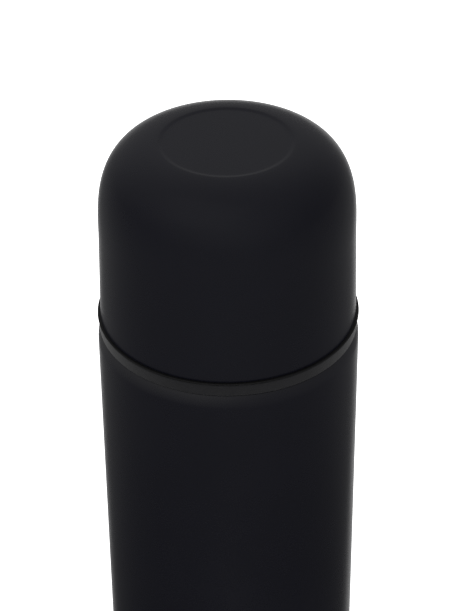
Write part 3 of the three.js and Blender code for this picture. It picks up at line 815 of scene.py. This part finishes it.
def neck_collar():
    # On the real flask the band sits down on the painted ledge
    bottom = BODY_TOP + TOUCH
    seal_groove_inside = 30.2
    seal_groove_outside = 33.2
    seal_groove_top = COLLAR_BOTTOM + 0.9
    bore = NECK_RADIUS + GAP
    entry = 1.4
    edge = 0.3
    undercut = 0.3  # leaves a thin shadow between the band and the paint
    undercut_width = 0.7
    rows_top = COLLAR_TOP - 0.7
    outline = rounded(
        (bore + entry, bottom),
        (seal_groove_inside, bottom, 0.1),
        (seal_groove_inside, seal_groove_top),
        (seal_groove_outside, seal_groove_top),
        (seal_groove_outside, bottom, 0.1),
        (COLLAR_RADIUS - undercut_width, bottom, 0.1),
        (COLLAR_RADIUS, bottom + undercut, 0.1),
        (COLLAR_RADIUS, COLLAR_BAND_TOP, edge),
        (COLLAR_CORE_RADIUS, COLLAR_BAND_TOP, 0.3),
        (COLLAR_CORE_RADIUS, COLLAR_TOP, 0.5),
        (bore, COLLAR_TOP, 0.3),
        (bore, COLLAR_BOTTOM + entry, 0.4),
    )
    outline = with_rows(outline, CUP_THREAD_START - ROWS_BELOW_THREAD, rows_top, COLLAR_CORE_RADIUS)
    thread = threaded(COLLAR_CORE_RADIUS, COLLAR_CREST_RADIUS, CUP_THREAD_START, COLLAR_THREAD_TURNS)
    lathe("neck_collar", COLLAR_PLASTIC, outline, shape=thread)


def collar_seal():
    outside, bottom, top = reach("collar_seal")
    width = 2.4
    lathe("collar_seal", RUBBER, rectangle(outside - width, outside, bottom, top))


# Stopper

STOPPER_RADIUS = 23
STOPPER_BOTTOM = 188.9
STOPPER_INSIDE = 20
CHANNEL_RADIUS = 9
CHANNEL_OUTSIDE = 10.5
CHANNEL_TOP = 203
GRIP_RADIUS = 27.2
GRIP_RIBS = 16
RIB_RADIUS = 0.8


def stopper_body():
    _, spigot_bottom, top = reach("stopper_body")
    floor_top = 191
    spigot = 19.6
    spigot_inside = 17
    grip_bottom = MOUTH_TOP + GAP
    deck_recess = 24.6
    deck_ledge = 211
    outline = rounded(
        (CHANNEL_RADIUS, STOPPER_BOTTOM, 0.3),
        (spigot_inside, STOPPER_BOTTOM, 0.4),
        (spigot_inside, spigot_bottom, 0.4),
        (spigot, spigot_bottom, 0.8),
        (spigot, STOPPER_BOTTOM, 0.2),
        (STOPPER_RADIUS, STOPPER_BOTTOM, 0.5),
        (STOPPER_RADIUS, grip_bottom, 0.3),
        (GRIP_RADIUS, grip_bottom, 0.4),
        (GRIP_RADIUS, top, 0.9),
        (deck_recess, top, 0.3),
        (deck_recess, deck_ledge, 0.2),
        (STOPPER_INSIDE, deck_ledge, 0.3),
        (STOPPER_INSIDE, floor_top, 0.6),
        (CHANNEL_OUTSIDE, floor_top, 0.6),
        (CHANNEL_OUTSIDE, CHANNEL_TOP, 0.3),
        (CHANNEL_RADIUS, CHANNEL_TOP, 0.3),
    )
    outline = thread_rows(outline, STOPPER_THREAD_START, STOPPER_THREAD_TURNS, STOPPER_RADIUS)
    outline = with_rows(outline, grip_bottom, top, GRIP_RADIUS)
    thread = threaded(STOPPER_RADIUS, STOPPER_CREST_RADIUS, STOPPER_THREAD_START, STOPPER_THREAD_TURNS)
    on_grip = 0.02
    rib_low = grip_bottom + 0.6
    rib_high = top - 1.2
    rib_height = 0.95 * RIB_RADIUS
    rib_fade = 0.6

    def shape(radius, height, angle):
        """The ribs on the grip, and the thread below it."""
        if abs(radius - GRIP_RADIUS) > on_grip or not grip_bottom < height < top:
            return thread(radius, height, angle)
        share = angle / TURN * GRIP_RIBS % 1 - 0.5
        across = abs(share) * TURN / GRIP_RIBS * GRIP_RADIUS
        bulge = math.sqrt(max(0, 1 - (across / RIB_RADIUS) ** 2))
        ends = smoothstep(min(height - rib_low, rib_high - height) / rib_fade + 0.5)
        return radius + rib_height * bulge * ends

    # Angles are close together across each rib
    rib_steps = 5
    gap_steps = 8
    half_rib = RIB_RADIUS / GRIP_RADIUS
    period = TURN / GRIP_RIBS
    across_rib = [half_rib * math.sin(TURN / 4 * k / rib_steps) for k in range(-rib_steps, rib_steps + 1)]
    between = [half_rib + (period - 2 * half_rib) * k / gap_steps for k in range(1, gap_steps)]
    angles = [period * (i + 0.5) + a for i in range(GRIP_RIBS) for a in across_rib + between]
    lathe("stopper_body", STOPPER_PLASTIC, outline, shape=shape, angles=angles)


def stopper_gasket():
    outside, bottom, top = reach("stopper_gasket")
    inside = 19.9
    lip = 0.5
    outline = rounded(
        (inside, bottom, 0.2),
        (outside - lip, bottom, 0.3),
        (outside, (bottom + top) / 2, 0.4),
        (outside - lip, top, 0.3),
        (inside, top, 0.2),
    )
    lathe("stopper_gasket", SILICONE, outline)


def insulation_ring():
    pocket, bottom, top = reach("insulation_ring")
    unevenness = 0.08
    room = 0.1  # keeps the uneven skin inside the pocket
    lumps_per_mm = 0.7
    inside = CHANNEL_OUTSIDE + GAP + room
    outside = pocket - room
    rows = 24

    def lumpy(radius, height, angle):
        """The slightly uneven skin of fused beads."""
        spot = Vector((math.cos(angle) * radius, math.sin(angle) * radius, height)) * lumps_per_mm
        return radius + unevenness * noise.noise(spot)

    def wall(radius, low, high):
        return [(radius, low + (high - low) * k / rows) for k in range(1, rows)]

    outline = rounded(
        (inside, bottom, 0.5),
        (outside, bottom, 0.7),
        *wall(outside, bottom, top),
        (outside, top, 0.7),
        (inside, top, 0.5),
        *wall(inside, top, bottom),
    )
    lathe("insulation_ring", FOAM, outline, MIDDLE_SIDES, shape=lumpy)


def insulation_cover():
    outside, bottom, top = reach("insulation_cover")
    outer_rim = 1.2
    inner_rim = 1.5
    recess = 0.3  # its depth, and the width of its sloping sides
    outline = rounded(
        (CHANNEL_RADIUS, bottom, 0.2),
        (outside, bottom, 0.2),
        (outside, top, 0.3),
        (outside - outer_rim, top, 0.2),
        (outside - outer_rim - recess, top - recess, 0.2),
        (CHANNEL_RADIUS + inner_rim + recess, top - recess, 0.2),
        (CHANNEL_RADIUS + inner_rim, top, 0.2),
        (CHANNEL_RADIUS, top, 0.3),
    )
    lathe("insulation_cover", STOPPER_PLASTIC, outline, MIDDLE_SIDES)


def slot_cutter(name, middle, half_angle, mid_radius, half_width, bottom, top):
    """A curved slot with round ends and eased edges where it leaves the plate."""
    ease = 0.35
    bend_height = 0.1
    bend_width = ease * 0.4
    beyond = 1  # how far the cutter stands out of the plate
    flare = [(-beyond, ease + beyond), (0, ease), (bend_height, bend_width), (ease, 0)]
    levels = [(bottom + rise, grow) for rise, grow in flare]
    levels += [(top - rise, grow) for rise, grow in reversed(flare)]
    bend = half_angle - half_width / mid_radius
    bend_steps = 24
    end_steps = 10
    rings = []
    for height, grow in levels:
        width = half_width + grow
        ring = []
        for side, first, last in ((1, -bend, bend), (-1, bend, -bend)):
            for k in range(bend_steps + 1):
                angle = middle + first + (last - first) * k / bend_steps
                radius = mid_radius + side * width
                ring.append((radius * math.cos(angle), radius * math.sin(angle), height))
            end = middle + last
            centre = Vector((mid_radius * math.cos(end), mid_radius * math.sin(end), height))
            outward = Vector((math.cos(end), math.sin(end), 0)) * side
            along = Vector((-math.sin(end), math.cos(end), 0)) * side
            for k in range(1, end_steps):
                a = math.pi * k / end_steps
                ring.append(centre + width * (outward * math.cos(a) + along * math.sin(a)))
        rings.append(ring)
    return loft(name, rings)


def stopper_deck():
    outside, bottom, collar_top = reach("stopper_deck")
    plate_top = 213.5
    bore = 12
    collar = 13.6
    slot_half_angle = math.radians(32)
    slot_radius = 17.1
    slot_half_width = 1.9
    outline = rounded(
        (bore, bottom, 0.3),
        (outside, bottom, 0.3),
        (outside, plate_top, 0.4),
        (collar, plate_top, 0.4),
        (collar, collar_top, 0.3),
        (bore, collar_top, 0.4),
    )
    piece = revolve("stopper_deck_fine", outline)
    for i in range(2):
        middle = math.pi * i
        slot = slot_cutter("slot", middle, slot_half_angle, slot_radius, slot_half_width, bottom, plate_top)
        boolean(piece, slot, "DIFFERENCE")
    place(piece, "stopper_deck", STOPPER_PLASTIC)


def stem_guide():
    rim_outside, bottom, top = reach("stem_guide")
    rim_inside = rim_outside - 1
    hub_inside = 2.4
    hub_outside = 5.2
    hub_outline = rectangle(hub_inside, hub_outside, bottom, top, (0.2, 0.2, 0.2, 0.3))
    hub = revolve("stem_guide_fine", hub_outline, MIDDLE_SIDES)
    rim = revolve("rim", rectangle(rim_inside, rim_outside, bottom, top), MIDDLE_SIDES)
    boolean(hub, rim, "UNION")
    spokes = 3
    overlap = 0.5
    inset = 0.3
    half = 0.7
    section = rectangle(-half, half, bottom + inset, top - inset, (0.25, 0.25, 0.25, 0.25))
    ends = (hub_outside - overlap, rim_inside + overlap)
    for i in range(spokes):
        turned = Matrix.Rotation(TURN * i / spokes, 3, "Z")
        spoke = loft("spoke", [[turned @ Vector((x, p.x, p.y)) for p in section] for x in ends])
        boolean(hub, spoke, "UNION")
    place(hub, "stem_guide", STOPPER_PLASTIC)


def button_spring():
    """A compression spring with a closed coil at each end."""
    low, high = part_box("button_spring")
    wire = 0.4
    mean = high.x / MM - wire
    bottom = low.z / MM + wire
    top = high.z / MM - wire
    closed_coils = 1
    open_coils = 4
    total = open_coils + 2 * closed_coils
    steps_per_coil = 40
    closed_rise = 2.1 * wire  # neighbouring coils just clear each other
    open_rise = (top - bottom - 2 * closed_coils * closed_rise) / open_coils
    points = []
    for i in range(total * steps_per_coil + 1):
        coil = i / steps_per_coil
        closed_part = min(coil, closed_coils) + max(0, coil - closed_coils - open_coils)
        z = bottom + closed_rise * closed_part + open_rise * (coil - closed_part)
        points.append(Vector((mean * math.cos(coil * TURN), mean * math.sin(coil * TURN), z)))
    piece = tube("button_spring_fine", points, wire)
    place(piece, "button_spring", WIRE)
    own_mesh(piece)


# Button and valve

def push_button():
    flange, bottom, top = reach("push_button")
    outside = 11.5
    flange_top = 211
    groove = 10.4
    groove_bottom = 211.8
    groove_top = 213.4
    ceiling = 215
    wall_inside = 9.4
    socket_outside = 3.3
    socket_inside = 2.3
    socket_bottom = 210.5
    dish = 0.5
    dish_radius = outside - 2.6
    dish_steps = 8
    thumb = [
        (dish_radius * k / dish_steps, top - dish * (1 + math.cos(math.pi * k / dish_steps)) / 2)
        for k in range(dish_steps + 1)
    ]
    outline = rounded(
        *thumb,
        (outside, top, 1.2),
        (outside, groove_top, 0.15),
        (groove, groove_top, 0.15),
        (groove, groove_bottom, 0.15),
        (outside, groove_bottom, 0.15),
        (outside, flange_top, 0.2),
        (flange, flange_top, 0.3),
        (flange, bottom, 0.3),
        (wall_inside, bottom, 0.3),
        (wall_inside, ceiling, 0.6),
        (socket_outside, ceiling, 0.4),
        (socket_outside, socket_bottom, 0.2),
        (socket_inside, socket_bottom, 0.2),
        (socket_inside, ceiling, 0.1),
        (0, ceiling),
        closed=False,
    )
    lathe("push_button", BUTTON_PLASTIC, outline, MIDDLE_SIDES, closed=False)


def button_seal():
    outside, bottom, top = reach("button_seal")
    width = 1
    outline = rectangle(outside - width, outside, bottom, top, (0.2, 0.3, 0.3, 0.2))
    lathe("button_seal", SILICONE, outline, MIDDLE_SIDES)


def valve_stem():
    outside, bottom, top = reach("valve_stem")
    hole = 1.5
    hole_top = 195.5
    outline = rounded(
        (0, hole_top),
        (hole, hole_top, 0.2),
        (hole, bottom, 0.1),
        (outside, bottom, 0.2),
        (outside, top, 0.4),
        (0, top),
        closed=False,
    )
    lathe("valve_stem", STOPPER_PLASTIC, outline, SMALL_SIDES, closed=False)


def valve_disc():
    outside, bottom, top = reach("valve_disc")
    hole = 1.8
    boss = 4.2
    rim = outside - 1.2
    slope = 0.4
    recess_top = bottom + 0.25
    edge_slope = 0.5
    outline = rounded(
        (hole, bottom, 0.15),
        (boss, bottom, 0.2),
        (boss + slope, recess_top, 0.2),
        (rim - slope, recess_top, 0.2),
        (rim, bottom, 0.2),
        (outside - edge_slope, bottom, 0.3),
        (outside, top, 0.2),
        (hole, top, 0.15),
    )
    lathe("valve_disc", STOPPER_PLASTIC, outline, MIDDLE_SIDES)


def valve_seal():
    outside, bottom, top = reach("valve_seal")
    inside = 7.5
    cone = 1.3
    outline = rounded(
        (inside, bottom, 0.15),
        (outside, bottom, 0.25),
        (outside - cone, top, 0.3),
        (inside, top, 0.2),
    )
    lathe("valve_seal", SILICONE, outline, MIDDLE_SIDES)


def valve_screw():
    head, bottom, top = reach("valve_screw")
    head_top = 185.6
    shank = 1.2
    outline = rounded(
        (0, bottom),
        (head, bottom, 0.9),
        (head, head_top, 0.15),
        (shank, head_top, 0.1),
        (shank, top, 0.5),
        (0, top),
        closed=False,
    )
    piece = revolve("valve_screw_fine", outline, SMALL_SIDES, closed=False)
    # Cross recess, narrower towards its floor: its height, half length and half width at both ends
    below_head = (bottom - 0.5, 1.75, 0.42)
    recess_floor = (bottom + 0.85, 1.05, 0.26)
    for i in range(2):
        turned = Matrix.Rotation(TURN / 4 * i, 3, "Z")
        rings = []
        for height, length, width in (below_head, recess_floor):
            corners = ((-length, -width), (length, -width), (length, width), (-length, width))
            rings.append([turned @ Vector((x, y, height)) for x, y in corners])
        boolean(piece, loft("recess", rings), "DIFFERENCE")
    place(piece, "valve_screw", WIRE)


# Cup

def cup_shell():
    # The painted edge sits down on the liner's flange
    lower_edge = CUP_MOUTH + FLANGE_THICKNESS + TOUCH
    outside = cup_outline(0, lower_edge)
    inside = cup_outline(SHEET, lower_edge)
    lathe("cup_shell", PAINT, [*reversed(inside), *outside], closed=False)


def cup_liner():
    outside = cup_outline(LINER_INSET, CUP_MOUTH + FLANGE_THICKNESS)
    inside = cup_outline(LINER_INSIDE, CUP_MOUTH)
    from_inside = 0.6
    from_outside = 0.3
    flange = rounded(
        (inside[0].x + from_inside, CUP_MOUTH),
        (FLANGE_RADIUS, CUP_MOUTH, 0.2),
        (FLANGE_RADIUS, CUP_MOUTH + FLANGE_THICKNESS, 0.2),
        (outside[0].x + from_outside, CUP_MOUTH + FLANGE_THICKNESS),
        closed=False,
    )
    start = CUP_THREAD_START + THREAD_PITCH / 2
    wall = CUP_BASE_RADIUS - LINER_INSIDE
    inside = thread_rows(inside, start, CUP_THREAD_TURNS, wall, closed=False)
    thread = threaded(wall, CUP_CREST_RADIUS, start, CUP_THREAD_TURNS)
    outline = [*reversed(inside), *flange, *outside]
    lathe("cup_liner", LINER_PLASTIC, outline, closed=False, shape=thread)


# Floor, light and camera

def look_at(direction):
    """The rotation of a lamp that shines in a direction."""
    return Vector(direction).to_track_quat("-Z", "Y").to_matrix().to_4x4()


# Brightness of the room: its level, how it changes with direction, and its increase in front and behind
ROOM_LEVEL = 0.145
ROOM_TO_RIGHT = -0.010
ROOM_TO_BACK = -0.010
ROOM_UPWARDS = 0.145
ROOM_ENDS = 0.110
ROOM_UPPER_RIGHT = -0.062

GLOW_COLOUR = (0.92, 0.92, 0.92, 1)


def background():
    """White where the camera sees past the floor, and a dimmer room that lights the flask.

    The room's brightness has small linear and quadratic terms in the direction.
    """
    world = bpy.data.worlds.new("room")
    bpy.context.scene.world = world
    world.use_nodes = True
    world.node_tree.nodes.clear()
    nodes = Tree(world.node_tree)
    direction = nodes.add("ShaderNodeTexCoord").outputs["Generated"]
    x, y, z = nodes.add("ShaderNodeSeparateXYZ", {0: direction}).outputs
    strength = nodes.sum(ROOM_LEVEL, x, ROOM_TO_RIGHT)
    strength = nodes.sum(strength, y, ROOM_TO_BACK)
    strength = nodes.sum(strength, z, ROOM_UPWARDS)
    strength = nodes.sum(strength, nodes.product(y, y), ROOM_ENDS)
    strength = nodes.sum(strength, nodes.product(x, z), ROOM_UPPER_RIGHT)
    room = nodes.add("ShaderNodeBackground", {"Strength": strength}).outputs[0]
    white = nodes.add("ShaderNodeBackground", {"Color": (1, 1, 1, 1)}).outputs[0]
    seen = nodes.add("ShaderNodeLightPath").outputs["Is Camera Ray"]
    both = nodes.add("ShaderNodeMixShader", {0: seen, 1: room, 2: white}).outputs[0]
    nodes.add("ShaderNodeOutputWorld", {0: both})


def floor():
    """A pale sheet with painted shade near the flask and on both sides of it, and a glow on its far side."""
    half_size = 6  # metres
    clearance = 0.1  # below the foot
    near = 0.15  # metres from the axis
    far = 0.36
    near_grey = 0.48
    far_grey = 0.82
    painted_side_shade = 0.18
    mesh_data = bmesh.new()
    bmesh.ops.create_grid(mesh_data, x_segments=1, y_segments=1, size=half_size)
    piece = object_from("studio_floor", mesh_data)
    piece.location.z = -clearance * MM
    nodes = Nodes("studio_floor", Roughness=0.9, Specular_IOR_Level=0.0)
    aside = nodes.x_of(nodes.vector("NORMALIZE", nodes.position))
    distance, _ = nodes.around()
    # The sheet's grey carries painted shade: darker near the flask's foot and towards both sides.
    grey = nodes.spread(distance, near_grey, far_grey, near, far)
    nodes.finish(nodes.sum(grey, nodes.product(aside, aside), -painted_side_shade))
    glow = nodes.add("ShaderNodeEmission", {"Color": GLOW_COLOUR, "Strength": floor_glow(nodes, distance)})
    both = nodes.add("ShaderNodeAddShader", {0: nodes.shader.outputs[0], 1: glow.outputs[0]})
    nodes.tree.links.new(both.outputs[0], nodes.tree.nodes["Material Output"].inputs[0])
    piece.data.materials.append(nodes.material)


def floor_glow(nodes, distance):
    """Light from a fan behind the flask, which shows in the parts of its sides that face backwards.

    To the camera the whole sheet glows too, so that it is as pale as the background.
    """
    fan_start = 0.12  # metres in front of the flask
    fan_direction = (0.03, 0.9995, 0)
    brightest = 1.05
    near = 0.4  # metres from the axis
    far = 1.2
    far_share = 0.5
    outwards = nodes.vector("NORMALIZE", nodes.vector("ADD", nodes.position, (0, fan_start, 0)))
    behind = nodes.vector("DOT_PRODUCT", outwards, fan_direction, result="Value")
    fan = nodes.spread(behind, 0, brightest, 0.90, 1.0)
    lit = nodes.product(fan, nodes.spread(distance, 1, far_share, near, far))
    seen = nodes.add("ShaderNodeLightPath").outputs["Is Camera Ray"]
    return nodes.sum(lit, seen, 1.0)


def overhead_light():
    """A large faint lamp above the flask, in front and to the left."""
    distance = 1.2
    side = 1.2
    data = bpy.data.lights.new("overhead", "AREA")
    data.shape = "SQUARE"
    data.size = side
    data.energy = 0.14
    lamp = bpy.data.objects.new("overhead", data)
    bpy.context.scene.collection.objects.link(lamp)
    direction = Vector((-0.30, -0.45, 0.84)).normalized()
    target = Vector((0, 0, CUP_MOUTH * MM))
    lamp.matrix_world = Matrix.Translation(target + direction * distance) @ look_at(-direction)


def camera():
    """From in front and above, as the flask is seen: a long lens about half a metre away."""
    pitch = math.radians(34.71)
    yaw = math.radians(0.027)
    roll = math.radians(-0.599)
    back = 0.4660  # metres in front of the flask's axis
    above_ring = 0.32325  # metres above the cup's rim
    ring = (CUP_MOUTH + FLANGE_THICKNESS / 2) * MM
    data = bpy.data.cameras.new("camera")
    data.lens = 125
    data.sensor_width = 36
    data.clip_start = 0.02
    piece = bpy.data.objects.new("camera", data)
    bpy.context.scene.collection.objects.link(piece)
    aimed = Matrix.Rotation(-yaw, 4, "Z") @ Matrix.Rotation(TURN / 4 - pitch, 4, "X")
    turned = aimed @ Matrix.Rotation(roll, 4, "Z")
    piece.matrix_world = Matrix.Translation((0, -back, ring + above_ring)) @ turned
    bpy.context.scene.camera = piece


camera()
background()
floor()
overhead_light()
bpy.context.scene.view_settings.view_transform = "Standard"

for make in (
    outer_shell, inner_vessel, base_plate, vacuum_seal_plug, base_pad, radiation_foil, getter_capsule,
    neck_collar, collar_seal, stopper_body, stopper_gasket, insulation_ring, insulation_cover,
    stopper_deck, stem_guide, button_spring, push_button, button_seal, valve_stem, valve_disc,
    valve_seal, valve_screw, cup_shell, cup_liner,
):
    make()
